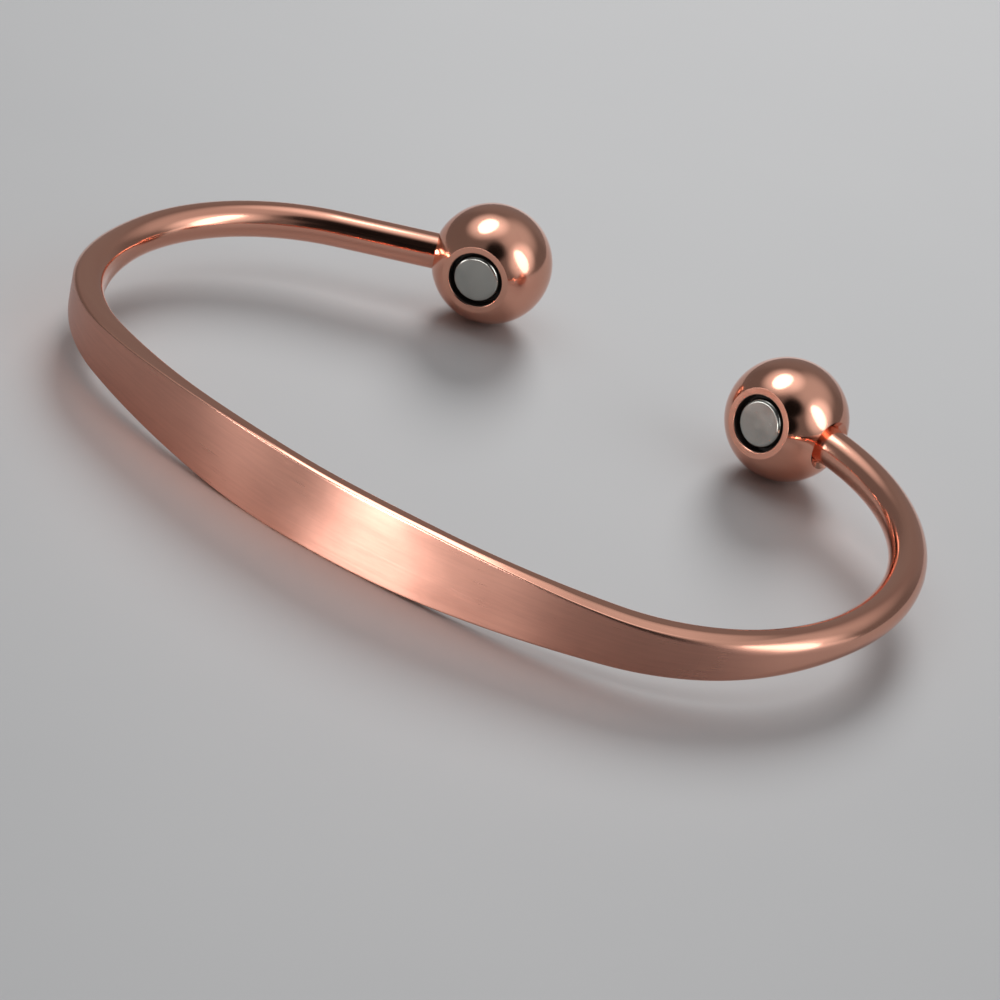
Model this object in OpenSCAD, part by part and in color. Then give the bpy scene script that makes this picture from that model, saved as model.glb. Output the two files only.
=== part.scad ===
// Magnetic bracelet: an open oval bangle of round copper wire, forged flat across its front,
// with a drilled ball pressed on each end and a disc magnet set in the inner side of each ball.
// It lies on a surface at z = 0. The flat front faces -Y and the gap between the balls faces +Y.

/* [Wire] */
// Diameter of the round wire
wire_d = 3; // [2.4:0.1:3.6]
// Width of the forged flat at the middle of the front
band_w = 6.6; // [5:0.1:8]
// Thickness of the forged flat at the middle of the front
band_t = 1.3; // [1:0.05:1.8]
// Corner radius of the forged flat
edge_r = 0.25; // [0.1:0.05:0.4]
// Length of wire from the middle of the front to where it is round again
forged_len = 46; // [36:1:56]

/* [Front bends] */
// Bend radius across the front, to the middle of the wire
front_r = 66; // [58:1:80]
// Angle that half the front turns through
front_angle = 22; // [19:0.5:26]
// Bend radius where the front turns into an arm
side_r = 17; // [14:0.5:20]
// Angle that this bend turns through
side_angle = 41; // [36:0.5:46]

/* [Left arm] */
// Bend radius of the left arm
left_arm_r = 17.8; // [16:0.2:20]
// Angle that the left arm turns through
left_arm_angle = 86; // [80:0.5:92]
// Straight wire from there to the middle of the left ball, longer if its hole asks for it
left_end_len = 12.8; // [10:0.2:15]
// Angle that the left magnet looks up
left_up_angle = 3; // [-5:1:15]
// Angle that the left magnet leans towards the wire
left_lean_angle = 14; // [-5:1:15]

/* [Right arm] */
// Bend radius of the right arm
right_arm_r = 20.6; // [18:0.2:23]
// Angle that the right arm turns through
right_arm_angle = 110.5; // [104:0.5:116]
// Straight wire from there to the middle of the right ball, longer if its hole asks for it
right_end_len = 3.3; // [3:0.1:6]
// Angle that the right magnet looks up
right_up_angle = 12; // [-5:1:15]
// Angle that the right magnet leans towards the wire
right_lean_angle = 3; // [-5:1:15]

/* [Balls] */
// Diameter of the balls
ball_d = 10; // [9:0.5:12]
// Depth of the wire in the ball, from where it goes in
wire_in = 3.4; // [2.5:0.1:4.5]
// Width of the bevel round the mouth of the left ball's hole
left_bevel = 0.15; // [0.1:0.05:0.6]
// Width of the bevel round the mouth of the right ball's hole
right_bevel = 0.55; // [0.1:0.05:0.6]
// Width of the flat ring ground round each magnet's seat
rim_w = 0.55; // [0.3:0.05:0.7]

/* [Magnets] */
// Diameter of the magnets
magnet_d = 4; // [3:0.1:4.2]
// Thickness of the magnets
magnet_t = 1; // [0.8:0.1:1.4]
// Bevel round each magnet's edges
magnet_bevel = 0.2; // [0.05:0.05:0.4]
// Depth of the magnet's face below the flat ring
magnet_sink = 0.1; // [0:0.05:0.3]

/* [Fits] */
// Gap between the magnet and the wall of its seat
seat_gap = 0.3; // [0.1:0.05:0.5]
// Gap between the magnet and the floor of its seat
floor_gap = 0.03; // [0.02:0.01:0.1]
// Gap between the wire and the wall and the end of its hole
hole_gap = 0.03; // [0.02:0.01:0.1]

/* [Hidden] */
$fn = 96;
copper = "#b9705a";
nickel = "#8a8a86";

// How the forging fades out from the middle of the front. PLACE is a share of forged_len,
// WIDER of the widening, THINNER of the thinning, ROUNDER of the way to round corners.
PLACE = 0;
WIDER = 1;
THINNER = 2;
ROUNDER = 3;
FORGING = [
    [0.00, 1.00, 1.00, 0.00],
    [0.17, 0.97, 1.00, 0.00],
    [0.35, 0.73, 0.90, 0.02],
    [0.52, 0.43, 0.57, 0.10],
    [0.70, 0.21, 0.31, 0.36],
    [0.87, 0.07, 0.10, 0.82],
    [1.00, 0.00, 0.00, 1.00]
];

// Sections along each bend, and points in each rounded corner of a section
front_steps = 14;
side_steps = 10;
arm_steps = 32;
corner_steps = 7;

// A side is -1 on the left and 1 on the right, and a value of either arm is picked by it
LEFT = -1;
RIGHT = 1;
function pick(side, left, right) = side == LEFT ? left : right;
function arm_r(side) = pick(side, left_arm_r, right_arm_r);
function arm_angle(side) = pick(side, left_arm_angle, right_arm_angle);
function bevel(side) = pick(side, left_bevel, right_bevel);

// Hole of a ball, as distances from its middle: where the wire goes in and where it stops,
// and where the bevel of its mouth starts
hole_r = wire_d / 2 + hole_gap;
mouth_at = sqrt(pow(ball_d / 2, 2) - pow(wire_d / 2, 2));
wire_stop = mouth_at - wire_in;
function bevel_at(side) = sqrt(pow(ball_d / 2, 2) - pow(hole_r + bevel(side), 2)) - bevel(side);

// The wire is straight in its hole, except that its bend may take up half of the gap round it
function straight_in(side) = bevel_at(side) - sqrt(arm_r(side) * hole_gap);
function end_len(side) = max(pick(side, left_end_len, right_end_len), straight_in(side));

// Length of wire in a bend, then up to each arm and up to the end of its bend
function bend_len(radius, angle) = radius * angle * PI / 180;
front_len = bend_len(front_r, front_angle);
front_and_side = front_len + bend_len(side_r, side_angle);
function bent_len(side) = front_and_side + bend_len(arm_r(side), arm_angle(side));

// Place and heading on the middle of the wire: [x, y, heading], both halves drawn as the right one
function bend(start, radius, length) =
    let (turned = start[2] + length / radius * 180 / PI)
    [start[0] + radius * (sin(turned) - sin(start[2])),
     start[1] + radius * (cos(start[2]) - cos(turned)),
     turned];
function straight(start, length) =
    [start[0] + length * cos(start[2]), start[1] + length * sin(start[2]), start[2]];
front_mid = [0, 0, 0];
front_end = bend(front_mid, front_r, front_len);
arm_start = bend(front_end, side_r, front_and_side - front_len);
function arm_end(side) = bend(arm_start, arm_r(side), bent_len(side) - front_and_side);
function ball_at(side) = straight(arm_end(side), end_len(side));

// The same at a length of wire from the middle of the front
function half_at(side, length) =
    length <= front_len ? bend(front_mid, front_r, length)
    : length <= front_and_side ? bend(front_end, side_r, length - front_len)
    : length <= bent_len(side) ? bend(arm_start, arm_r(side), length - front_and_side)
    : straight(arm_end(side), length - bent_len(side));

// The left half, turned over to its own side, has the lengths below zero
function wire_at(length) =
    let (side = length < 0 ? LEFT : RIGHT, at = half_at(side, abs(length)))
    [side * at[0], at[1], side * at[2]];

// Flat ring and seat of a ball, as distances from its middle
seat_d = magnet_d + 2 * seat_gap;
facet_at = sqrt(pow(ball_d / 2, 2) - pow(seat_d / 2 + rim_w, 2));
face_at = facet_at - magnet_sink;
back_at = face_at - magnet_t;

// Length of the wire on each side, up to its end in the ball
function half_len(side) = bent_len(side) + end_len(side) - wire_stop;

// Middles of the two balls, and the angle between the line through them and the X axis
left_ball = [LEFT * ball_at(LEFT)[0], ball_at(LEFT)[1]];
right_ball = [ball_at(RIGHT)[0], ball_at(RIGHT)[1]];
ball_line = right_ball - left_ball;
rest_swing = atan2(ball_line[1], ball_line[0]);

// The bangle lies on the two balls and on the lower edge of its front, so it is tilted a little
// about that line. ball_reach and edge_reach are how far the balls and that edge lie across it.
edge_y = band_t / 2 - edge_r;
edge_z = band_w / 2 - edge_r;
ball_reach = right_ball[1] * cos(rest_swing) - right_ball[0] * sin(rest_swing);
edge_reach = ball_reach + edge_y + front_r * (1 - cos(rest_swing));
rest_tilt = asin((ball_d / 2 - edge_r) / norm([edge_reach, edge_z])) - atan2(edge_z, edge_reach);

// It is moved so that the middle of its box stands over the origin
function widest(side) = arm_start[0] + arm_r(side) * (1 - sin(arm_start[2])) + wire_d / 2;
front_y = -edge_r - edge_y * cos(rest_tilt) - edge_z * sin(rest_tilt);
rear_y = max(left_ball[1], right_ball[1]) * cos(rest_tilt) + ball_d / 2;
rest_x = (widest(LEFT) - widest(RIGHT)) / 2;
rest_y = -(front_y + rear_y) / 2;
rest_z = ball_d / 2 - ball_reach * sin(rest_tilt);

// Value of a column of FORGING at a place, with smooth slopes between its rows
function slope(row, column) =
    row == 0 || row == len(FORGING) - 1 ? 0
    : (FORGING[row + 1][column] - FORGING[row - 1][column])
      / (FORGING[row + 1][PLACE] - FORGING[row - 1][PLACE]);
function forging(place, column) =
    place >= 1 ? FORGING[len(FORGING) - 1][column]
    : let (
        row = max([for (k = [0:len(FORGING) - 2]) if (FORGING[k][PLACE] <= place) k]),
        from = FORGING[row],
        to = FORGING[row + 1],
        span = to[PLACE] - from[PLACE],
        t = (place - from[PLACE]) / span
    )
    from[column] * (2 * t * t * t - 3 * t * t + 1)
    + to[column] * (3 * t * t - 2 * t * t * t)
    + slope(row, column) * span * (t * t * t - 2 * t * t + t)
    + slope(row + 1, column) * span * (t * t * t - t * t);

// Width, thickness and corner radius of the wire at a length from the middle of the front
function mix(from, to, share) = from + (to - from) * share;
function section(length) =
    let (
        place = abs(length) / forged_len,
        wide = mix(wire_d, band_w, forging(place, WIDER)),
        thick = mix(wire_d, band_t, forging(place, THINNER)),
        corner = mix(edge_r, wire_d / 2, forging(place, ROUNDER))
    )
    [wide, thick, min(corner, wide / 2, thick / 2)];

// Points of one section: a rounded rectangle across the wire, thickness outwards and width up
function ring(length) =
    let (
        at = wire_at(length),
        size = section(length),
        flat_out = size[1] / 2 - size[2],
        flat_up = size[0] / 2 - size[2]
    )
    [for (corner = [0:3], step = [0:corner_steps - 1])
        let (
            angle = 90 * (corner + (step + 0.5) / corner_steps),
            out = flat_out * sign(cos(90 * corner + 45)) + size[2] * cos(angle),
            up = flat_up * sign(sin(90 * corner + 45)) + size[2] * sin(angle)
        )
        [at[0] + out * sin(at[2]), at[1] - out * cos(at[2]), up]];

// Lengths from the middle of the front at which the sections stand
function spread(from, to, steps) = [for (k = [1:steps]) from + (to - from) * k / steps];
function half_lengths(side) = concat(
    spread(0, front_len, front_steps),
    spread(front_len, front_and_side, side_steps),
    spread(front_and_side, bent_len(side), arm_steps),
    [half_len(side)]
);
left_lengths = half_lengths(LEFT);
lengths = concat(
    [for (k = [len(left_lengths) - 1:-1:0]) -left_lengths[k]],
    [0],
    half_lengths(RIGHT)
);

// One closed skin through the sections, with a flat end in each ball
module band() {
    around = 4 * corner_steps;
    last = len(lengths) - 1;
    points = [for (length = lengths) each ring(length)];
    sides = [for (s = [0:last - 1], k = [0:around - 1])
        let (
            a = s * around + k,
            b = s * around + (k + 1) % around,
            c = a + around,
            d = b + around
        )
        each [[a, c, b], [b, c, d]]];
    start_cap = [for (k = [0:around - 1]) k];
    end_cap = [for (k = [around - 1:-1:0]) last * around + k];
    color(copper)
        resting()
            polyhedron(points, concat(sides, [start_cap, end_cap]), convexity = 6);
}

// Lays the flat loop down on its three points
module resting() {
    translate([rest_x, rest_y, rest_z])
        rotate(a = rest_tilt, v = [ball_line[0], ball_line[1], 0])
            children();
}

// Carries a ball's own frame to its end: +X goes on along the wire, +Y faces the wrist
module at_end(side) {
    at = ball_at(side);
    resting()
        mirror([side == LEFT ? 1 : 0, 0, 0])
            translate([at[0], at[1], 0])
                rotate([0, 0, at[2]])
                    children();
}

// Turns the ball's +Y axis to where its magnet looks
module facing(side) {
    rotate([pick(side, left_up_angle, right_up_angle), 0, pick(side, left_lean_angle, right_lean_angle)])
        children();
}

// A ball with its flat ring, the magnet's seat and the wire's hole with a bevelled mouth
module drilled_ball(side) {
    floor_at = back_at - floor_gap;
    color(copper)
        difference() {
            sphere(d = ball_d);
            facing(side)
                translate([-ball_d, facet_at, -ball_d])
                    cube(2 * ball_d);
            facing(side)
                rotate([-90, 0, 0])
                    translate([0, 0, floor_at])
                        cylinder(d = seat_d, h = ball_d);
            rotate([0, -90, 0])
                translate([0, 0, wire_stop - hole_gap])
                    cylinder(r = hole_r, h = ball_d);
            rotate([0, -90, 0])
                translate([0, 0, bevel_at(side)])
                    cylinder(r1 = hole_r, r2 = hole_r + 2 * bevel(side), h = 2 * bevel(side));
        }
}

// A disc magnet with bevelled edges
module magnet() {
    radius = magnet_d / 2;
    color(nickel)
        rotate([-90, 0, 0])
            rotate_extrude()
                polygon([
                    [0, back_at],
                    [radius - magnet_bevel, back_at],
                    [radius, back_at + magnet_bevel],
                    [radius, face_at - magnet_bevel],
                    [radius - magnet_bevel, face_at],
                    [0, face_at]
                ]);
}

module ball_left() {
    at_end(LEFT)
        drilled_ball(LEFT);
}

module ball_right() {
    at_end(RIGHT)
        drilled_ball(RIGHT);
}

module magnet_left() {
    at_end(LEFT)
        facing(LEFT)
            magnet();
}

module magnet_right() {
    at_end(RIGHT)
        facing(RIGHT)
            magnet();
}

band();
ball_left();
ball_right();
magnet_left();
magnet_right();
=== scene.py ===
"""Dresses the magnetic bracelet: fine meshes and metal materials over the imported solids, floor, lights and camera.
Lengths are in millimetres until a mesh is made, and in metres in the materials and lights."""
import math

import bpy
import numpy as np
from mathutils import Matrix, Vector


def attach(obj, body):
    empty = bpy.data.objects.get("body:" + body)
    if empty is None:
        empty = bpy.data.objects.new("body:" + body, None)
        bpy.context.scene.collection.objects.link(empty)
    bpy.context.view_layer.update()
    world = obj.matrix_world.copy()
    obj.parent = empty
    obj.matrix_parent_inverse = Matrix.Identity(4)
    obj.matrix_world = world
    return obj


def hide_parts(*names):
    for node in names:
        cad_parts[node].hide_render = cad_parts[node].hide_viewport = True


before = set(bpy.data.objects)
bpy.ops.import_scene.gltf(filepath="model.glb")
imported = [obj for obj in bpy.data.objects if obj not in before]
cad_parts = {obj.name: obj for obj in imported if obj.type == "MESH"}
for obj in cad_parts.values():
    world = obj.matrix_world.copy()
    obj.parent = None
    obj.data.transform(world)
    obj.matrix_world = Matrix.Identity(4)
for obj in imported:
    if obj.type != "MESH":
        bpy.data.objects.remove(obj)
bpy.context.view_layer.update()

MM = 0.001
LEFT, RIGHT = -1, 1

# The part's sizes, as in its source
WIRE_D, BAND_W, BAND_T, FORGED_LEN = 3.0, 6.6, 1.3, 46.0
FRONT_R, FRONT_ANGLE, SIDE_R, SIDE_ANGLE = 66.0, 22.0, 17.0, 41.0
ARM_R = {LEFT: 17.8, RIGHT: 20.6}
ARM_ANGLE = {LEFT: 86.0, RIGHT: 110.5}
END_LEN = {LEFT: 12.8, RIGHT: 3.3}
UP_ANGLE = {LEFT: 3.0, RIGHT: 12.0}
LEAN_ANGLE = {LEFT: 14.0, RIGHT: 3.0}
BALL_D, WIRE_IN, RIM_W = 10.0, 3.4, 0.55
MAGNET_D, MAGNET_T, MAGNET_SINK = 4.0, 1.0, 0.1
EDGE_R, SEAT_GAP, FLOOR_GAP, HOLE_GAP = 0.25, 0.3, 0.03, 0.03
BEVEL = {LEFT: 0.15, RIGHT: 0.55}
FORGING_PLACE = (0.00, 0.17, 0.35, 0.52, 0.70, 0.87, 1.00)
FORGING_WIDER = (1.00, 0.97, 0.73, 0.43, 0.21, 0.07, 0.00)
FORGING_THINNER = (1.00, 1.00, 0.90, 0.57, 0.31, 0.10, 0.00)
FORGING_ROUNDER = (0.00, 0.00, 0.02, 0.10, 0.36, 0.82, 1.00)

# Finish that the plain solids leave out: edge radii of the forged flat, and the bulge of its broad faces
OUTER_EDGE_R, LOWER_EDGE_R, INNER_EDGE_R, CROWN = 0.12, 0.24, 0.40, 0.04
# The outer part of its top edge slopes by TOP_SLOPE degrees, and by SLOPE_DIP less near DIP_AT. Where it
# starts at the lengths TOP_START_AT, and how it blends in, are shares of half the thickness
TOP_SLOPE, SLOPE_DIP, DIP_AT, DIP_SPAN = 20.0, 7.5, 24.0, 8.0
TOP_START, TOP_START_AT, TOP_BLEND = (0.32, -0.05), (8.0, 20.0), 0.25
# The slope fades in between these lengths, and out between these shares of the forged length
TOP_FADE_IN, TOP_FADE_OUT = (-13.0, -1.0), (0.95, 0.70)
# Twist of the outer face, in radians for each millimetre, and the length that it spans
TWIST, TWIST_SPAN = 0.0065, 9.0
# Step between the sections of the wire, and the points in a section's corners, edges and faces
RING_STEP, CORNER_POINTS, EDGE_POINTS, FACE_POINTS = 0.3, 9, 7, 13
# Points round a ball, a ball's mouth and a magnet
BALL_AROUND, MOUTH_AROUND, MAGNET_AROUND = 160, 96, 96
# The visible wire is this much narrower than the solid, to stay inside its box
INSIDE = 0.01
RIM_EDGE_R, MOUTH_EDGE_R, MAGNET_EDGE_R, MAGNET_BACK_R = 0.10, 0.06, 0.34, 0.12


def bend(at, radius, angle):
    """Place and heading after a bend: x, y, heading in radians."""
    x, y, h = at
    a = np.radians(angle)
    return x + radius * (np.sin(h + a) - np.sin(h)), y + radius * (np.cos(h) - np.cos(h + a)), h + a


FRONT_LEN = FRONT_R * math.radians(FRONT_ANGLE)
SIDE_LEN = SIDE_R * math.radians(SIDE_ANGLE)
ARM_LEN = {s: ARM_R[s] * math.radians(ARM_ANGLE[s]) for s in (LEFT, RIGHT)}
FRONT_END = bend((0.0, 0.0, 0.0), FRONT_R, FRONT_ANGLE)
ARM_START = bend(FRONT_END, SIDE_R, SIDE_ANGLE)
ARM_END = {s: bend(ARM_START, ARM_R[s], ARM_ANGLE[s]) for s in (LEFT, RIGHT)}


def straight(at, length):
    x, y, h = at
    return x + length * np.cos(h), y + length * np.sin(h), h


def wire_at(s):
    """Place and heading of the wire's middle at a length from the middle of the front."""
    side, d = (LEFT, -s) if s < 0 else (RIGHT, s)
    if d <= FRONT_LEN:
        at = bend((0.0, 0.0, 0.0), FRONT_R, math.degrees(d / FRONT_R))
    elif d <= FRONT_LEN + SIDE_LEN:
        at = bend(FRONT_END, SIDE_R, math.degrees((d - FRONT_LEN) / SIDE_R))
    elif d <= FRONT_LEN + SIDE_LEN + ARM_LEN[side]:
        at = bend(ARM_START, ARM_R[side], math.degrees((d - FRONT_LEN - SIDE_LEN) / ARM_R[side]))
    else:
        at = straight(ARM_END[side], d - FRONT_LEN - SIDE_LEN - ARM_LEN[side])
    return side * at[0], at[1], side * at[2]


BALL = {s: straight(ARM_END[s], END_LEN[s]) for s in (LEFT, RIGHT)}
MOUTH_AT = math.sqrt((BALL_D / 2) ** 2 - (WIRE_D / 2) ** 2)
WIRE_STOP = MOUTH_AT - WIRE_IN
SEAT_R = MAGNET_D / 2 + SEAT_GAP
FACET_AT = math.sqrt((BALL_D / 2) ** 2 - (SEAT_R + RIM_W) ** 2)
FACE_AT = FACET_AT - MAGNET_SINK
BACK_AT = FACE_AT - MAGNET_T
HALF_LEN = {s: FRONT_LEN + SIDE_LEN + ARM_LEN[s] + END_LEN[s] - WIRE_STOP for s in (LEFT, RIGHT)}


def turn(axis, angle):
    """Rotation matrix about an axis, the angle in radians."""
    x, y, z = axis
    k = np.array([[0, -z, y], [z, 0, -x], [-y, x, 0]])
    return np.eye(3) + math.sin(angle) * k + (1 - math.cos(angle)) * k @ k


# How the flat loop lies down on its two balls and on the lower edge of its front
left_ball = np.array([-BALL[LEFT][0], BALL[LEFT][1], 0.0])
right_ball = np.array([BALL[RIGHT][0], BALL[RIGHT][1], 0.0])
ball_line = (right_ball - left_ball) / np.linalg.norm(right_ball - left_ball)
edge_y, edge_z = BAND_T / 2 - EDGE_R, BAND_W / 2 - EDGE_R
ball_reach = right_ball[1] * ball_line[0] - right_ball[0] * ball_line[1]
edge_reach = ball_reach + edge_y + FRONT_R * (1 - ball_line[0])
rest_tilt = math.asin((BALL_D / 2 - EDGE_R) / math.hypot(edge_reach, edge_z)) - math.atan2(edge_z, edge_reach)
REST = turn(ball_line, rest_tilt)
widest = {s: ARM_START[0] + ARM_R[s] * (1 - math.sin(ARM_START[2])) + WIRE_D / 2 for s in (LEFT, RIGHT)}
front_y = -EDGE_R - edge_y * math.cos(rest_tilt) - edge_z * math.sin(rest_tilt)
rear_y = max(left_ball[1], right_ball[1]) * math.cos(rest_tilt) + BALL_D / 2
rest_z = BALL_D / 2 - ball_reach * math.sin(rest_tilt)
REST_MOVE = np.array([(widest[LEFT] - widest[RIGHT]) / 2, -(front_y + rear_y) / 2, rest_z])


def lay(points):
    return np.asarray(points) @ REST.T + REST_MOVE


def end_frame(side):
    """Rotation and place of a ball's own frame in the flat loop: +X goes on along the wire, +Y faces the wrist."""
    flip = np.diag([1.0 if side == RIGHT else -1.0, 1.0, 1.0])
    x, y, h = BALL[side]
    return flip @ turn((0, 0, 1), h), flip @ np.array([x, y, 0.0])


def facing(side):
    return turn((0, 0, 1), math.radians(LEAN_ANGLE[side])) @ turn((1, 0, 0), math.radians(UP_ANGLE[side]))


def forging(place, column):
    """A column of the forging table at a place, with smooth slopes between its rows."""
    place = min(abs(place), 1.0)
    xs = FORGING_PLACE
    k = max(i for i in range(len(xs) - 1) if xs[i] <= place)

    def slope(i):
        return 0.0 if i in (0, len(xs) - 1) else (column[i + 1] - column[i - 1]) / (xs[i + 1] - xs[i - 1])
    span = xs[k + 1] - xs[k]
    t = (place - xs[k]) / span
    return (column[k] * (2 * t ** 3 - 3 * t ** 2 + 1) + column[k + 1] * (3 * t ** 2 - 2 * t ** 3)
            + slope(k) * span * (t ** 3 - 2 * t ** 2 + t) + slope(k + 1) * span * (t ** 3 - t ** 2))


def mix(a, b, share):
    return a + (b - a) * share


def share_of(value, start, stop):
    """How far a value has come from start to stop, held between 0 and 1."""
    return min(1.0, max(0.0, (value - start) / (stop - start)))


def new_mesh(name, points, faces, normals=None, material=None):
    """A smooth mesh object from points in millimetres in the row frame."""
    mesh = bpy.data.meshes.new(name)
    mesh.from_pydata([tuple(p) for p in np.asarray(points) * MM], [], faces)
    mesh.update()
    mesh.shade_smooth()
    if normals is not None:
        mesh.normals_split_custom_set_from_vertices([tuple(n) for n in normals])
    obj = bpy.data.objects.new(name, mesh)
    bpy.context.scene.collection.objects.link(obj)
    if material:
        mesh.materials.append(material)
    return obj


def stand_for(obj, node):
    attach(obj, "root")
    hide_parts(node)


# Materials
def nodes_of(name):
    material = bpy.data.materials.new(name)
    material.use_nodes = True
    tree = material.node_tree
    return material, tree, tree.nodes["Principled BSDF"]


def add(tree, kind, **values):
    """A new node; keys that start with a capital are sockets, the rest are the node's own settings."""
    node = tree.nodes.new(kind)
    for key, value in values.items():
        if key[0].isupper():
            node.inputs[key.replace("_", " ")].default_value = value
        else:
            setattr(node, key, value)
    return node


def ramp(tree, source, low, high, out_low, out_high):
    """Maps a value from one span to another, held at the ends."""
    node = add(tree, "ShaderNodeMapRange", clamp=True)
    node.inputs["From Min"].default_value = low
    node.inputs["From Max"].default_value = high
    node.inputs["To Min"].default_value = out_low
    node.inputs["To Max"].default_value = out_high
    tree.links.new(source, node.inputs["Value"])
    return node.outputs["Result"]


def math_node(tree, operation, a, b):
    node = add(tree, "ShaderNodeMath", operation=operation)
    for socket, value in zip(node.inputs, (a, b)):
        if isinstance(value, (int, float)):
            socket.default_value = value
        else:
            tree.links.new(value, socket)
    return node.outputs["Value"]


def noise(tree, coordinates, stretch, scale, detail=2.0, rough=0.5):
    """Noise on coordinates stretched by a factor for each axis."""
    mapping = add(tree, "ShaderNodeMapping", Scale=stretch)
    tree.links.new(coordinates, mapping.inputs["Vector"])
    node = add(tree, "ShaderNodeTexNoise", Scale=scale, Detail=detail, Roughness=rough)
    tree.links.new(mapping.outputs["Vector"], node.inputs["Vector"])
    return node.outputs["Fac"]


def grain(tree, place, scale, detail, low, high, out_low, out_high):
    """Even noise in all directions, mapped from one span to another."""
    return ramp(tree, noise(tree, place, (1, 1, 1), scale, detail), low, high, out_low, out_high)


def scratch(tree, along, start, stop, width):
    """Mask of a fine line between two places, in millimetres along the wire and up its outer face."""
    start, stop = Vector((*start, 0.0)) * MM, Vector((*stop, 0.0)) * MM
    run = stop - start
    off = add(tree, "ShaderNodeVectorMath", operation="SUBTRACT")
    off.inputs[1].default_value = start
    tree.links.new(along, off.inputs[0])
    share = add(tree, "ShaderNodeVectorMath", operation="DOT_PRODUCT")
    share.inputs[1].default_value = run / run.length_squared
    tree.links.new(off.outputs["Vector"], share.inputs[0])
    held = ramp(tree, share.outputs["Value"], 0.0, 1.0, 0.0, 1.0)
    foot = add(tree, "ShaderNodeVectorMath", operation="SCALE")
    foot.inputs[0].default_value = run
    tree.links.new(held, foot.inputs["Scale"])
    away = add(tree, "ShaderNodeVectorMath", operation="DISTANCE")
    tree.links.new(off.outputs["Vector"], away.inputs[0])
    tree.links.new(foot.outputs["Vector"], away.inputs[1])
    return ramp(tree, away.outputs["Value"], 0.0, width * MM, 1.0, 0.0)


COPPER = (0.90, 0.46, 0.335, 1.0)
COPPER_DEEP = (0.85, 0.40, 0.29, 1.0)
COPPER_SATIN = (0.64, 0.32, 0.245, 1.0)
NICKEL_PALE, NICKEL_DULL = (0.50, 0.50, 0.465, 1.0), (0.40, 0.405, 0.38, 1.0)
# Near-black tones of the wall and floor of each seat
SEAT_BLACK, SEAT_BLACKER = (0.050, 0.034, 0.028, 1.0), (0.022, 0.018, 0.017, 1.0)
FLOOR_PALE, FLOOR_GREY = (0.56, 0.562, 0.57, 1.0), (0.52, 0.524, 0.535, 1.0)

# Scratches on the outer face: start and stop in millimetres, and how deep beside the brushing
SCRATCHES = (
    ((-3.3, 2.95), (-2.6, 2.6), 1.4),
    ((-2.6, 2.6), (-2.1, 2.75), 0.9),
    ((-4.6, 0.9), (-3.3, 0.3), 1.2),
    ((25.6, 1.9), (25.8, 2.7), 3.0),
    ((31.6, -1.3), (31.9, 0.6), 2.0),
    ((13.0, -0.6), (16.5, -0.9), 0.8),
)
SCRATCH_WIDTH = 0.05


def tinted(tree, shader, share, plain=COPPER, other=COPPER_DEEP):
    """Base colour between two colours, by a share of the second. A Mix node's sockets 6 and 7 are its colours."""
    tint = add(tree, "ShaderNodeMix", data_type="RGBA")
    tint.inputs[6].default_value = plain
    tint.inputs[7].default_value = other
    tree.links.new(share, tint.inputs[0])
    tree.links.new(tint.outputs[2], shader.inputs["Base Color"])


def bumped(tree, shader, height, strength, distance):
    bump = add(tree, "ShaderNodeBump", Strength=strength, Distance=distance)
    tree.links.new(height, bump.inputs["Height"])
    tree.links.new(bump.outputs["Normal"], shader.inputs["Normal"])


def copper_polished():
    material, tree, shader = nodes_of("copper_polished")
    place = add(tree, "ShaderNodeTexCoord").outputs["Object"]
    shader.inputs["Metallic"].default_value = 1.0
    tinted(tree, shader, grain(tree, place, 160.0, 4.0, 0.45, 0.7, 0.0, 1.0))
    haze = noise(tree, place, (1, 1, 1), 420.0, 5.0, 0.6)
    tree.links.new(ramp(tree, haze, 0.35, 0.75, 0.09, 0.18), shader.inputs["Roughness"])
    bumped(tree, shader, noise(tree, place, (1, 1, 1), 1500.0, 3.0), 0.12, 0.00002)
    return material


def copper_wire():
    """Polished wire with faint marks drawn out along its length."""
    material, tree, shader = nodes_of("copper_wire")
    shader.inputs["Metallic"].default_value = 1.0
    along = add(tree, "ShaderNodeUVMap", uv_map="along").outputs["UV"]
    place = add(tree, "ShaderNodeTexCoord").outputs["Object"]
    tinted(tree, shader, ramp(tree, noise(tree, along, (40.0, 700.0, 1.0), 1.0, 3.0), 0.4, 0.7, 0.0, 0.8))
    marks = noise(tree, along, (110.0, 1600.0, 1.0), 1.0, 4.0)
    tree.links.new(ramp(tree, marks, 0.3, 0.75, 0.09, 0.19), shader.inputs["Roughness"])
    waves = noise(tree, place, (1, 1, 1), 260.0, 1.0)
    height = math_node(tree, "ADD", math_node(tree, "MULTIPLY", marks, 0.12), waves)
    bumped(tree, shader, height, 0.35, 0.00006)
    return material


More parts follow.
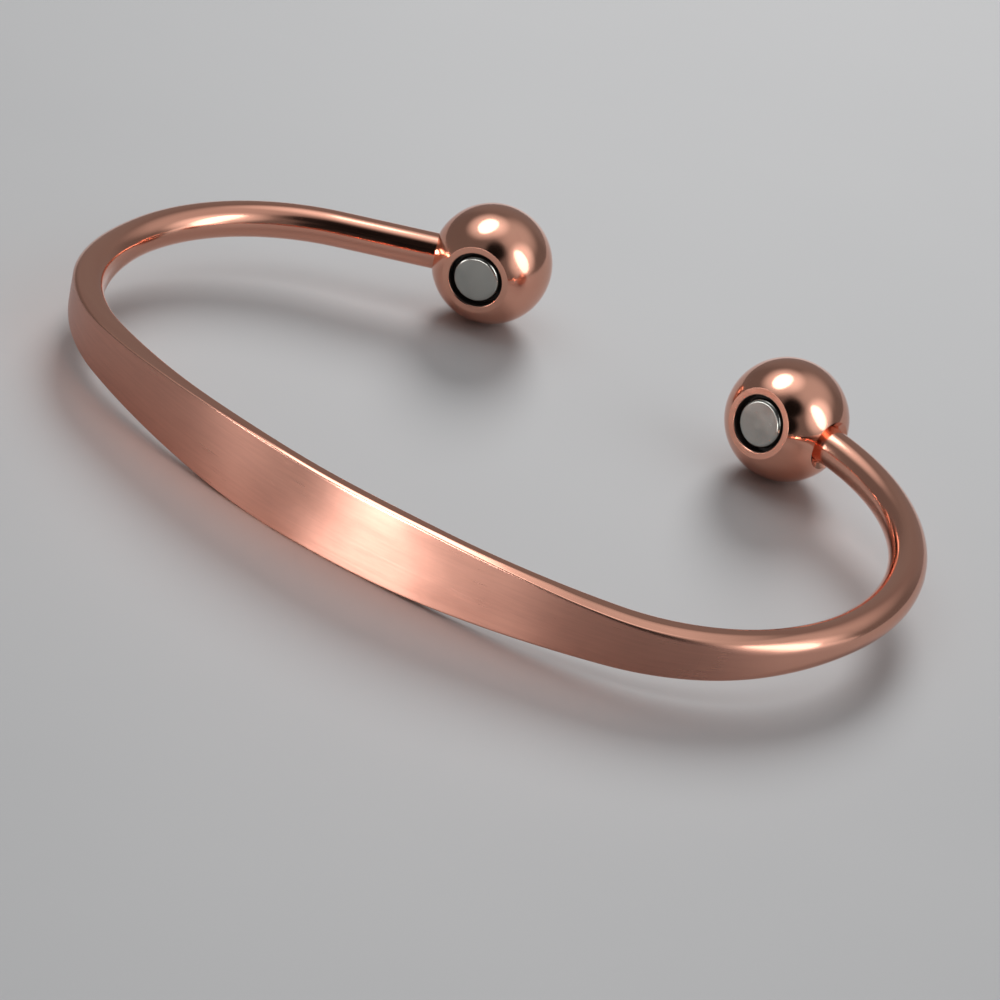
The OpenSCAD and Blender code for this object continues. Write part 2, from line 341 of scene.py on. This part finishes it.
def copper_brushed():
    """Satin finish of the forged flat's outer face, brushed along its length, with a few faint scratches."""
    material, tree, shader = nodes_of("copper_brushed")
    shader.inputs["Metallic"].default_value = 1.0
    shader.inputs["Anisotropic"].default_value = 0.95
    shader.inputs["Anisotropic Rotation"].default_value = 0.25
    along = add(tree, "ShaderNodeUVMap", uv_map="along").outputs["UV"]
    place = add(tree, "ShaderNodeTexCoord").outputs["Object"]
    satin = add(tree, "ShaderNodeAttribute", attribute_name="satin").outputs["Fac"]
    tangent = add(tree, "ShaderNodeTangent", direction_type="UV_MAP", uv_map="along")
    tree.links.new(tangent.outputs["Tangent"], shader.inputs["Tangent"])
    clouds = ramp(tree, noise(tree, along, (90.0, 400.0, 1.0), 1.0, 3.0), 0.35, 0.7, 0.85, 1.0)
    lines = ramp(tree, noise(tree, along, (260.0, 4200.0, 1.0), 1.0, 3.0, 0.6), 0.38, 0.62, 0.83, 1.0)
    dull = math_node(tree, "MULTIPLY", math_node(tree, "MULTIPLY", satin, clouds), lines)
    tinted(tree, shader, dull, COPPER, COPPER_SATIN)
    streaks = noise(tree, along, (55.0, 5200.0, 1.0), 1.0, 5.0, 0.6)
    rough = add(tree, "ShaderNodeMix", data_type="FLOAT")
    tree.links.new(satin, rough.inputs[0])
    rough.inputs[2].default_value = 0.14
    blotches = ramp(tree, noise(tree, along, (150.0, 300.0, 1.0), 1.0, 3.0), 0.35, 0.7, 0.0, 0.03)
    worn = math_node(tree, "ADD", ramp(tree, streaks, 0.3, 0.75, 0.265, 0.295), blotches)
    tree.links.new(worn, rough.inputs[3])
    tree.links.new(rough.outputs[0], shader.inputs["Roughness"])
    peel = noise(tree, place, (1, 1, 1), 500.0, 2.0)
    height = math_node(tree, "ADD", math_node(tree, "MULTIPLY", streaks, 0.12), peel)
    for start, stop, deep in SCRATCHES:
        line = math_node(tree, "MULTIPLY", scratch(tree, along, start, stop, SCRATCH_WIDTH), deep)
        height = math_node(tree, "SUBTRACT", height, line)
    bumped(tree, shader, height, 0.16, 0.00003)
    return material


def nickel():
    material, tree, shader = nodes_of("nickel_magnet")
    place = add(tree, "ShaderNodeTexCoord").outputs["Object"]
    shader.inputs["Metallic"].default_value = 1.0
    tinted(tree, shader, grain(tree, place, 420.0, 3.0, 0.35, 0.7, 0.0, 1.0), NICKEL_PALE, NICKEL_DULL)
    tree.links.new(grain(tree, place, 900.0, 3.0, 0.35, 0.7, 0.20, 0.28), shader.inputs["Roughness"])
    bumped(tree, shader, noise(tree, place, (1, 1, 1), 1200.0, 3.0), 0.25, 0.00002)
    return material


def copper_ground():
    """Fine satin of the flat ring ground round each seat."""
    material, tree, shader = nodes_of("copper_ground")
    place = add(tree, "ShaderNodeTexCoord").outputs["Object"]
    shader.inputs["Metallic"].default_value = 1.0
    tinted(tree, shader, grain(tree, place, 700.0, 3.0, 0.4, 0.7, 0.0, 0.3))
    tree.links.new(grain(tree, place, 1500.0, 2.0, 0.35, 0.7, 0.23, 0.27), shader.inputs["Roughness"])
    return material


def seat_dark():
    """Near-black wall and floor of a seat, mottled and slightly bumped."""
    material, tree, shader = nodes_of("seat_dark")
    place = add(tree, "ShaderNodeTexCoord").outputs["Object"]
    speckle = noise(tree, place, (1, 1, 1), 1800.0, 3.0)
    tinted(tree, shader, ramp(tree, speckle, 0.4, 0.65, 0.0, 1.0), SEAT_BLACK, SEAT_BLACKER)
    shader.inputs["Roughness"].default_value = 0.45
    bumped(tree, shader, speckle, 0.4, 0.00003)
    return material


POLISHED, WIRE, BRUSHED, NICKEL = copper_polished(), copper_wire(), copper_brushed(), nickel()
GROUND, SEAT = copper_ground(), seat_dark()


# The band
def section(s):
    """Points across the wire as (out, up), the outline's own tangents, and each point's share of satin."""
    place = abs(s) / FORGED_LEN
    wider, thinner, rounder = (forging(place, c) for c in (FORGING_WIDER, FORGING_THINNER, FORGING_ROUNDER))
    wide = mix(WIRE_D, BAND_W, wider) - INSIDE
    thick = mix(WIRE_D, BAND_T, thinner)
    limit = min(wide, thick) / 2
    outer, lower = (min(mix(r, WIRE_D / 2, max(0.0, rounder) ** 1.6), limit) for r in (OUTER_EDGE_R, LOWER_EDGE_R))
    inner = min(mix(INNER_EDGE_R, WIRE_D / 2, rounder), limit)
    points, tangents = [], []
    corners = ((1, 1, outer), (-1, 1, inner), (-1, -1, inner), (1, -1, lower))
    for c, (side_out, side_up, r) in enumerate(corners):
        middle = (side_out * (thick / 2 - r), side_up * (wide / 2 - r))
        for k in range(CORNER_POINTS + 1):
            a = math.radians(90 * (c + k / CORNER_POINTS))
            points.append((middle[0] + r * math.cos(a), middle[1] + r * math.sin(a)))
            tangents.append((-math.sin(a), math.cos(a)))
        following = corners[(c + 1) % 4]
        a = points[-1]
        n = EDGE_POINTS if c in (0, 2) else FACE_POINTS
        step = math.radians(90 * (c + 1))
        b = (following[0] * (thick / 2 - following[2]) + following[2] * math.cos(step),
             following[1] * (wide / 2 - following[2]) + following[2] * math.sin(step))
        for k in range(1, n + 1):
            t = k / (n + 1)
            points.append((mix(a[0], b[0], t), mix(a[1], b[1], t)))
            tangents.append((-math.sin(step), math.cos(step)))
    points, tangents = np.array(points), np.array(tangents)
    share = points[:, 1] / (wide / 2)
    crown = CROWN * wider
    points[:, 0] -= np.sign(points[:, 0]) * crown * share ** 2
    slope = -np.sign(points[:, 0]) * crown * 2 * share / (wide / 2)
    tangents[:, 0] += slope * np.abs(tangents[:, 1])
    # The outer part of the top edge falls away, as the forged edge does in the photo
    reach = points[:, 0] / (thick / 2) - mix(*TOP_START, share_of(s, *TOP_START_AT))
    fade = min(share_of(place, *TOP_FADE_OUT), share_of(s, *TOP_FADE_IN))
    steep = TOP_SLOPE - SLOPE_DIP * math.exp(-((s - DIP_AT) / DIP_SPAN) ** 2)
    fall = math.tan(math.radians(steep)) * fade * fade * (3 - 2 * fade)
    upper = np.clip(points[:, 1] / (wide / 4), 0, 1)
    ease = np.clip(reach / TOP_BLEND, 0, 1)
    depth = np.where(reach < TOP_BLEND, ease ** 2 * TOP_BLEND / 2, reach - TOP_BLEND / 2) * (reach > 0)
    points[:, 1] -= upper * fall * depth * thick / 2
    tangents[:, 1] -= upper * fall * ease * tangents[:, 0]
    # The outer face is a little twisted at its middle, which slants the edge of its highlight
    twist = TWIST * s * math.exp(-(s / TWIST_SPAN) ** 2) * np.clip(points[:, 0] / (thick / 2), 0, 1)
    points[:, 0] += twist * points[:, 1]
    tangents[:, 0] += twist * tangents[:, 1]
    tangents /= np.linalg.norm(tangents, axis=1)[:, None]
    # Satin where the outline runs upwards on the outer side, and none where the wire is round
    facing_out = np.clip((tangents[:, 1] * np.sign(points[:, 0]) - 0.6) / 0.3, 0, 1) * (points[:, 0] > 0)
    return points, tangents, facing_out * min(1.0, 1.5 - rounder * 1.5)


def make_band():
    count = int((HALF_LEN[LEFT] + HALF_LEN[RIGHT]) / RING_STEP)
    lengths = np.linspace(-HALF_LEN[LEFT], HALF_LEN[RIGHT], count + 1)
    rings, tangents, satin, round_way = [], [], [], []
    for s in lengths:
        x, y, h = wire_at(s)
        across, along_ring, share = section(s)
        out = np.array([math.sin(h), -math.cos(h), 0.0])
        up = np.array([0.0, 0.0, 1.0])
        rings.append(np.array([x, y, 0.0]) + across[:, :1] * out + across[:, 1:] * up)
        tangents.append(along_ring[:, :1] * out + along_ring[:, 1:] * up)
        satin.append(share)
        gaps = np.linalg.norm(np.diff(across, axis=0, append=across[:1]), axis=1)
        way = np.concatenate([[0.0], np.cumsum(gaps)])
        round_way.append(way - way[len(across) - (FACE_POINTS + 1) // 2])
    rings, tangents, satin, round_way = (np.array(v) for v in (rings, tangents, satin, round_way))
    lengthwise = np.gradient(rings, lengths, axis=0)
    normals = np.cross(lengthwise, tangents)
    normals /= np.linalg.norm(normals, axis=2)[..., None]
    n, m = rings.shape[:2]
    faces = [(i * m + k, (i + 1) * m + k, (i + 1) * m + (k + 1) % m, i * m + (k + 1) % m)
             for i in range(n - 1) for k in range(m)]
    faces += [tuple(range(m)), tuple(range((n - 1) * m, n * m))[::-1]]
    obj = new_mesh("band_wire", lay(rings.reshape(-1, 3)), faces, normals.reshape(-1, 3) @ REST.T, WIRE)
    mesh = obj.data
    mesh.materials.append(BRUSHED)
    shares = satin.reshape(-1)
    for face in mesh.polygons:
        face.material_index = int(shares[list(face.vertices)].mean() > 0.01)
    add_way_map(mesh, lengths, round_way, n, m)
    layer = mesh.attributes.new("satin", "FLOAT", "POINT")
    layer.data.foreach_set("value", satin.reshape(-1).astype(np.float32))
    stand_for(obj, "band")
    return obj


def add_way_map(mesh, lengths, round_way, n, m):
    """UV map of the length along the wire and the way round it, for n sections of m points."""
    uv = mesh.uv_layers.new(name="along")
    spots = np.zeros((len(mesh.loops), 2), np.float32)
    picked = np.zeros(len(mesh.loops), np.int32)
    mesh.loops.foreach_get("vertex_index", picked)
    face_of = np.repeat(np.arange(len(mesh.polygons)), [len(p.vertices) for p in mesh.polygons])
    ring_of, step_of = picked // m, picked % m
    wrapped = (step_of == 0) & (face_of % m == m - 1) & (face_of < (n - 1) * m)
    spots[:, 0] = lengths[ring_of] * MM
    spots[:, 1] = round_way[ring_of, np.where(wrapped, m, step_of)] * MM
    uv.data.foreach_set("uv", spots.ravel())


# The balls
def revolve(profile, around, axis_frame):
    """Points and faces of a profile of (radius, height) pairs turned about +Y of a frame."""
    points, rows = [], []
    for r, z in profile:
        if r < 1e-9:
            rows.append([len(points)] * around)
            points.append((0.0, z, 0.0))
        else:
            rows.append(list(range(len(points), len(points) + around)))
            angles = [2 * math.pi * k / around for k in range(around)]
            points += [(r * math.cos(a), z, r * math.sin(a)) for a in angles]
    faces = []
    for a, b in zip(rows, rows[1:]):
        for k in range(around):
            face = [a[k], a[(k + 1) % around], b[(k + 1) % around], b[k]]
            faces.append(tuple(dict.fromkeys(face)))
    return np.array(points) @ np.asarray(axis_frame).T, faces


def fillet(before, corner, after, radius, steps=5):
    """Points of a rounded corner between two straight runs of a profile."""
    before, corner, after = (np.array(v, float) for v in (before, corner, after))
    a = (before - corner) / np.linalg.norm(before - corner)
    b = (after - corner) / np.linalg.norm(after - corner)
    half = math.acos(max(-1.0, min(1.0, float(a @ b)))) / 2
    reach = radius / math.tan(half)
    middle = corner + (a + b) / np.linalg.norm(a + b) * radius / math.sin(half)
    start, stop = corner + a * reach - middle, corner + b * reach - middle
    out = []
    for k in range(steps + 1):
        v = start * (1 - k / steps) + stop * (k / steps)
        out.append(tuple(middle + v / np.linalg.norm(v) * radius))
    return out


def ball_profile():
    """From the pole opposite the seat, over the ball, the flat ring and the seat's wall to its floor."""
    radius = BALL_D / 2
    rim_r = SEAT_R + RIM_W
    rim_angle = math.atan2(rim_r, FACET_AT)
    floor_at = BACK_AT - FLOOR_GAP
    last = rim_angle + RIM_EDGE_R / radius
    profile = [(radius * math.sin(a), radius * math.cos(a)) for a in np.linspace(math.pi, last, 96)]
    profile[0] = (0.0, -radius)
    profile += fillet(profile[-1], (rim_r, FACET_AT), (SEAT_R, FACET_AT), RIM_EDGE_R * 0.9)
    profile += fillet((rim_r, FACET_AT), (SEAT_R, FACET_AT), (SEAT_R, floor_at), RIM_EDGE_R)
    profile += [(SEAT_R, floor_at), (SEAT_R * 0.5, floor_at), (0.0, floor_at)]
    return profile


def mouth_cutter(side, own):
    """A bore about the ball's X axis with a bevelled mouth, its corner a little rounded."""
    bore, bevel = WIRE_D / 2 + HOLE_GAP, BEVEL[side]
    start = math.sqrt((BALL_D / 2) ** 2 - (bore + bevel) ** 2) - bevel
    far = BALL_D - start
    profile = [(0.0, WIRE_STOP - HOLE_GAP), (bore, WIRE_STOP - HOLE_GAP)]
    profile += fillet((bore, WIRE_STOP), (bore, start), (bore + far, start + far), MOUTH_EDGE_R)
    profile += [(bore + far, start + far), (0.0, start + far)]
    to_mouth = np.array([[0.0, -1.0, 0.0], [1.0, 0.0, 0.0], [0.0, 0.0, 1.0]])
    return revolve(profile, MOUTH_AROUND, own @ to_mouth)


def true_normals(obj, side, middle, wire, look):
    """Sets each corner's normal from the true surface of its face, so that the cut ball shades without seams."""
    mesh = obj.data
    radius, bore = BALL_D / 2, WIRE_D / 2 + HOLE_GAP
    normals = []
    for face in mesh.polygons:
        c = np.array(face.center) / MM - middle
        spots = [np.array(mesh.vertices[v].co) / MM - middle for v in face.vertices]
        flat = np.array(face.normal)
        off_wire = np.linalg.norm(c - (c @ wire) * wire)
        if abs(np.linalg.norm(c) - radius) < 0.01 and flat @ c > 0.97 * radius:
            normals += [p / np.linalg.norm(p) for p in spots]
        elif c @ wire > 0 and off_wire < bore + BEVEL[side] + 0.05:
            along = flat @ wire
            if abs(along) > 0.99:
                normals += [flat] * len(spots)
                continue
            slant = math.sqrt(max(0.0, 1 - along ** 2))
            for p in spots:
                out = p - (p @ wire) * wire
                normals.append(along * wire - slant * out / np.linalg.norm(out))
        elif abs(flat @ look) > 0.995:
            normals += [look] * len(spots)
        elif abs(flat @ look) < 0.02:
            for p in spots:
                out = p - (p @ look) * look
                normals.append(-out / max(np.linalg.norm(out), 1e-9))
        else:
            normals += [flat] * len(spots)
    mesh.normals_split_custom_set([tuple(float(x) for x in n) for n in normals])


def make_ball(side, name, node):
    own, spot = end_frame(side)
    own_row = REST @ own
    middle = lay([spot])[0]
    look_frame = own_row @ facing(side)
    points, faces = revolve(ball_profile(), BALL_AROUND, look_frame)
    ball = new_mesh(name, points + middle, faces, None, POLISHED)
    cut_points, cut_faces = mouth_cutter(side, own_row)
    cutter = new_mesh(name + "_cutter", cut_points + middle, cut_faces)
    for obj in (ball, cutter):
        outward(obj)
    cut = ball.modifiers.new("mouth", "BOOLEAN")
    cut.operation = "DIFFERENCE"
    cut.solver = "EXACT"
    cut.object = cutter
    made = bpy.data.meshes.new_from_object(ball.evaluated_get(bpy.context.evaluated_depsgraph_get()))
    ball.modifiers.clear()
    ball.data = made
    made.shade_smooth()
    bpy.data.objects.remove(cutter)
    wire = own_row @ np.array([-1.0, 0.0, 0.0])
    look = look_frame @ np.array([0.0, 1.0, 0.0])
    true_normals(ball, side, middle, wire, look)
    made.materials.append(GROUND)
    made.materials.append(SEAT)
    for face in made.polygons:
        c = np.array(face.center) / MM - middle
        height = c @ look
        off = np.linalg.norm(c - height * look)
        if height > 0 and off < SEAT_R + 0.02 and height < FACET_AT - 0.5 * RIM_EDGE_R:
            face.material_index = 2
        elif height > FACET_AT - 0.02 and off < SEAT_R + RIM_W:
            face.material_index = 1
    stand_for(ball, node)
    return ball


def outward(obj):
    """Turns a closed mesh's faces outwards."""
    mesh = obj.data
    mesh.calc_loop_triangles()
    volume = 0.0
    for tri in mesh.loop_triangles:
        a, b, c = (mesh.vertices[i].co for i in tri.vertices)
        volume += a.dot(b.cross(c))
    if volume < 0:
        mesh.flip_normals()


# The magnets
def magnet_profile():
    radius = MAGNET_D / 2
    back = [(0.0, BACK_AT), (radius * 0.6, BACK_AT)]
    back += fillet((0.0, BACK_AT), (radius, BACK_AT), (radius, FACE_AT), MAGNET_BACK_R, 4)
    rise = fillet((radius, BACK_AT), (radius, FACE_AT), (0.0, FACE_AT), MAGNET_EDGE_R, 9)
    face = [(r, FACE_AT) for r in (radius * 0.8, radius * 0.6, radius * 0.4, radius * 0.2)]
    return back + rise + face + [(0.0, FACE_AT)]


def make_magnet(side, name, node):
    own, spot = end_frame(side)
    points, faces = revolve(magnet_profile(), MAGNET_AROUND, REST @ own @ facing(side))
    magnet = new_mesh(name, points + lay([spot])[0], faces, None, NICKEL)
    outward(magnet)
    stand_for(magnet, node)
    return magnet


pieces = [
    make_band(),
    make_ball(LEFT, "left_ball_drilled", "ball_left"),
    make_ball(RIGHT, "right_ball_drilled", "ball_right"),
    make_magnet(LEFT, "left_disc", "magnet_left"),
    make_magnet(RIGHT, "right_disc", "magnet_right"),
]

# Camera, from the fit to the photograph's outline, in the flat loop's own frame
FOCAL_PX, PHOTO_PX, SENSOR = 5000.0, 1000.0, 36.0
AZ, EL, ROLL = (math.radians(a) for a in (31.3823, 29.9808, 12.3964))
DISTANCE, SHIFT_RIGHT, SHIFT_UP = 388.502, -1.5865, 5.8403
LOOK_AT = np.array([0.0, 20.717, 0.0])
back = np.array([math.sin(AZ) * math.cos(EL), -math.cos(AZ) * math.cos(EL), math.sin(EL)])
level = np.array([math.cos(AZ), math.sin(AZ), 0.0])
upright = np.cross(back, level)
right = math.cos(ROLL) * level + math.sin(ROLL) * upright
upwards = -math.sin(ROLL) * level + math.cos(ROLL) * upright
eye = lay([LOOK_AT - SHIFT_RIGHT * right - SHIFT_UP * upwards + DISTANCE * back])[0] * MM
axes = np.array([REST @ right, REST @ upwards, REST @ back])
lens = bpy.data.cameras.new("camera")
lens.lens = FOCAL_PX / PHOTO_PX * SENSOR
lens.sensor_width = SENSOR
lens.clip_start = 0.01
camera = bpy.data.objects.new("camera", lens)
camera.matrix_world = Matrix([[*axes[:, i], eye[i]] for i in range(3)] + [[0, 0, 0, 1]])
bpy.context.scene.collection.objects.link(camera)
bpy.context.scene.camera = camera


# Floor and light
def make_floor():
    size, steps = 3.0, 24
    grid = np.linspace(-size, size, steps + 1)
    points = [(x / MM, y / MM, 0.0) for y in grid for x in grid]
    faces = [(i * (steps + 1) + k, i * (steps + 1) + k + 1, (i + 1) * (steps + 1) + k + 1, (i + 1) * (steps + 1) + k)
             for i in range(steps) for k in range(steps)]
    material, tree, shader = nodes_of("pale_floor")
    place = add(tree, "ShaderNodeTexCoord").outputs["Object"]
    tinted(tree, shader, noise(tree, place, (1, 1, 1), 30.0, 3.0), FLOOR_PALE, FLOOR_GREY)
    shader.inputs["Roughness"].default_value = 0.55
    floor = new_mesh("floor", points, faces, None, material)
    return floor


def softbox(name, direction, angle_wide, angle_high, radiance, lit, shape="ELLIPSE", distance=0.9, roll=0.0):
    """An area light of an angular size and brightness, out along a direction, that lights one group."""
    light = bpy.data.lights.new(name, "AREA")
    light.shape = shape
    light.size = 2 * distance * math.tan(math.radians(angle_wide / 2))
    light.size_y = 2 * distance * math.tan(math.radians(angle_high / 2))
    area = light.size * light.size_y * (math.pi / 4 if shape == "ELLIPSE" else 1.0)
    light.energy = radiance * math.pi * area
    obj = bpy.data.objects.new(name, light)
    d = Vector(direction).normalized()
    obj.location = Vector((0.0, 0.0, 0.006)) + d * distance
    aim = d.to_track_quat("Z", "Y").to_matrix() @ Matrix.Rotation(math.radians(roll), 3, "Z")
    obj.rotation_euler = aim.to_euler()
    obj.light_linking.receiver_collection = lit
    bpy.context.scene.collection.objects.link(obj)


def group(name, members):
    made = bpy.data.collections.new(name)
    for member in members:
        made.objects.link(member)
    return made


def toward(azimuth, elevation):
    """Direction at degrees round from the front (-Y) towards the left (-X), and degrees up."""
    a, e = math.radians(azimuth), math.radians(elevation)
    return -math.sin(a) * math.cos(e), -math.cos(a) * math.cos(e), math.sin(e)


metal = group("lit_metal", pieces)
band = group("lit_band", pieces[:1])
ends = group("lit_ends", pieces[1:])
magnets = group("lit_magnets", pieces[3:])
ground = group("lit_floor", [make_floor()])
OVERHEAD, SIDE = (-0.380, 0.004, 0.924), (0.876, 0.149, 0.458)
softbox("overhead_left", OVERHEAD, 36, 28, 2.2, metal)
softbox("side_right", SIDE, 22, 44, 2.0, metal, roll=15)
softbox("low_front", toward(18.5, 12), 10, 20, 56.0, band, "RECTANGLE")
softbox("low_front_wide", toward(6, 12), 14, 20, 9.0, band, "RECTANGLE")
softbox("low_left", toward(41, 12), 7, 20, 10.0, band, "RECTANGLE")
softbox("low_right", toward(-109, 5), 40, 14, 0.5, band)
softbox("ring_right", toward(34, 4), 24, 12, 5.0, ends)
softbox("ring_left", toward(-3, 1), 24, 12, 8.0, ends)
softbox("magnet_edges", (0.82, -0.28, 0.50), 30, 40, 3.0, magnets)
softbox("floor_back", (-0.40, 0.75, 0.52), 26, 26, 8.0, ground)


# The room's brightness, and its pale and dark places: a direction, the angles from it within which the place
# is full and beyond which it is gone, and what it adds or leaves
DIM = 0.15
PALE_PLACES = (
    (OVERHEAD, 8, 36, 0.8),
    (SIDE, 8, 34, 0.8),
    ((0.35, 0.34, 0.86), 10, 46, 0.36),
    ((-0.40, 0.90, 0.22), 20, 42, 0.06),
)
DARK_PLACES = (
    ((0.52, -0.81, 0.26), 12, 24, 0.04),
    ((0.37, -0.55, 0.75), 12, 24, 0.04),
    ((0.16, -0.90, 0.40), 10, 22, 0.04),
)


def studio():
    """A dim grey room: soft light round the two lamps, between them and low behind, and dark places in front."""
    world = bpy.data.worlds.new("studio")
    world.use_nodes = True
    tree = world.node_tree
    view = add(tree, "ShaderNodeTexCoord").outputs["Generated"]

    def lobe(direction, inner, outer, from_value, to_value):
        """A smooth change of brightness from inside one angle to outside another, about a direction."""
        aim = add(tree, "ShaderNodeVectorMath", operation="DOT_PRODUCT")
        aim.inputs[1].default_value = Vector(direction).normalized()
        tree.links.new(view, aim.inputs[0])
        start, stop = (math.cos(math.radians(a)) for a in (outer, inner))
        share = ramp(tree, aim.outputs["Value"], start, stop, to_value, from_value)
        share.node.interpolation_type = "SMOOTHSTEP"
        return share
    total = lobe(*PALE_PLACES[0], 0.0)
    for place in PALE_PLACES[1:]:
        total = math_node(tree, "ADD", total, lobe(*place, 0.0))
    total = math_node(tree, "ADD", total, DIM)
    for place in DARK_PLACES:
        total = math_node(tree, "MULTIPLY", total, lobe(*place, 1.0))
    tree.links.new(total, tree.nodes["Background"].inputs["Strength"])
    tree.nodes["Background"].inputs["Color"].default_value = (1.0, 1.0, 1.0, 1.0)
    bpy.context.scene.world = world


studio()
bpy.context.scene.view_settings.view_transform = "Standard"
